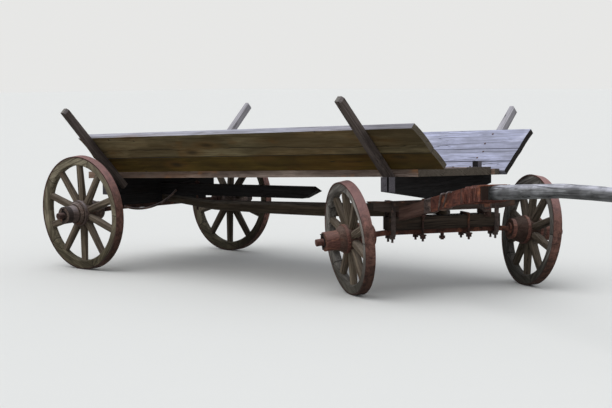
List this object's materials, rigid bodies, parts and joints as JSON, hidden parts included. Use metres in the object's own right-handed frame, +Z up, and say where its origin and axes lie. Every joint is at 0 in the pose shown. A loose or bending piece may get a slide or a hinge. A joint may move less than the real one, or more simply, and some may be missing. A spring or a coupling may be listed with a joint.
{
  "type": "horse-drawn farm hay wagon with spoked wooden wheels",
  "caption": "Old wooden farm hay wagon: open plank bed with leaning side boards on stakes, spoked iron-tyred wheels, steering front gear with hounds and pole.",
  "frame": {"origin": "bottom centre of the whole wagon's box, on the ground", "axes": "+X forward along the bed, +Y to the wagon's left, +Z up; the front gear is parked turned to the right"},
  "size_m": [6.0304, 2.7362, 1.3468],
  "materials": {
    "tyre_iron": "rusty",
    "nave_band_iron": "rusty",
    "forged_iron": "rusty",
    "nave_wood": "weathered, stained by rust",
    "spoke_wood": "weathered",
    "felloe_wood": "weathered",
    "floor_wood": "weathered",
    "board_wood": "weathered",
    "stake_wood": "weathered",
    "pole_wood": "weathered grey",
    "reach_wood": "weathered",
    "hound_wood": "sheathed in rusty sheet iron",
    "timber_wood": "old and dark"
  },
  "bodies": {
    "wagon_body": {"rear_axle_iron": "forged_iron", "linchpin_rear_right": "forged_iron", "linchpin_rear_left": "forged_iron", "rear_axle_bed": "timber_wood", "rear_bolster": "timber_wood", "reach": "reach_wood", "spine_beam": "timber_wood", "reach_bolt": "forged_iron", "rear_stay": "forged_iron", "front_bolster": "timber_wood", "king_bolt": "forged_iron", "wear_plate_upper": "forged_iron", "floor_plank_right": "floor_wood", "floor_plank_inner_right": "floor_wood", "floor_plank_inner_left": "floor_wood", "floor_plank_left": "floor_wood", "side_boards_right": "board_wood", "side_boards_left": "board_wood", "stop_cleat": "floor_wood", "stake_front_right": "stake_wood", "stake_front_left": "stake_wood", "stake_rear_right": "stake_wood", "stake_rear_left": "stake_wood"},
    "front_gear": {"front_axle_iron": "forged_iron", "linchpin_front_right": "forged_iron", "linchpin_front_left": "forged_iron", "front_axle_bed": "timber_wood", "sand_bolster": "timber_wood", "wear_plate_lower": "forged_iron", "sway_straps": "forged_iron", "hound_right": "hound_wood", "hound_left": "hound_wood", "pole": "pole_wood", "hound_bands": "forged_iron", "axle_straps": "forged_iron", "axle_ubolts": "forged_iron"},
    "wheel_rear_right": {"wheel_rear_right_nave": "nave_wood", "wheel_rear_right_nave_bands": "nave_band_iron", "wheel_rear_right_spokes": "spoke_wood", "wheel_rear_right_felloes": "felloe_wood", "wheel_rear_right_tyre": "tyre_iron"},
    "wheel_rear_left": {"wheel_rear_left_nave": "nave_wood", "wheel_rear_left_nave_bands": "nave_band_iron", "wheel_rear_left_spokes": "spoke_wood", "wheel_rear_left_felloes": "felloe_wood", "wheel_rear_left_tyre": "tyre_iron"},
    "wheel_front_right": {"wheel_front_right_nave": "nave_wood", "wheel_front_right_nave_bands": "nave_band_iron", "wheel_front_right_spokes": "spoke_wood", "wheel_front_right_felloes": "felloe_wood", "wheel_front_right_tyre": "tyre_iron"},
    "wheel_front_left": {"wheel_front_left_nave": "nave_wood", "wheel_front_left_nave_bands": "nave_band_iron", "wheel_front_left_spokes": "spoke_wood", "wheel_front_left_felloes": "felloe_wood", "wheel_front_left_tyre": "tyre_iron"}
  },
  "joints": [
    {"name": "steering", "type": "hinge", "parent": "wagon_body", "child": "front_gear", "pos_m": [0.25584, 0.21438, 0.51796], "axis": [0, 0, 1], "range_deg": [-4.5, 63.5]},
    {"name": "wheel_rear_right_turn", "type": "hinge", "parent": "wagon_body", "child": "wheel_rear_right", "pos_m": [-2.57416, -0.59562, 0.43948], "axis": [0, 0.9988, 0.0488], "continuous": true},
    {"name": "wheel_rear_left_turn", "type": "hinge", "parent": "wagon_body", "child": "wheel_rear_left", "pos_m": [-2.57416, 1.02438, 0.43948], "axis": [0, 0.9988, -0.0488], "continuous": true},
    {"name": "wheel_front_right_turn", "type": "hinge", "parent": "front_gear", "child": "wheel_front_right", "pos_m": [-0.07507, -0.3705, 0.38621], "axis": [0.4902, 0.8663, 0.0958], "continuous": true},
    {"name": "wheel_front_left_turn", "type": "hinge", "parent": "front_gear", "child": "wheel_front_left", "pos_m": [0.58675, 0.79926, 0.38621], "axis": [0.4902, 0.8663, -0.0958], "continuous": true}
  ]
}
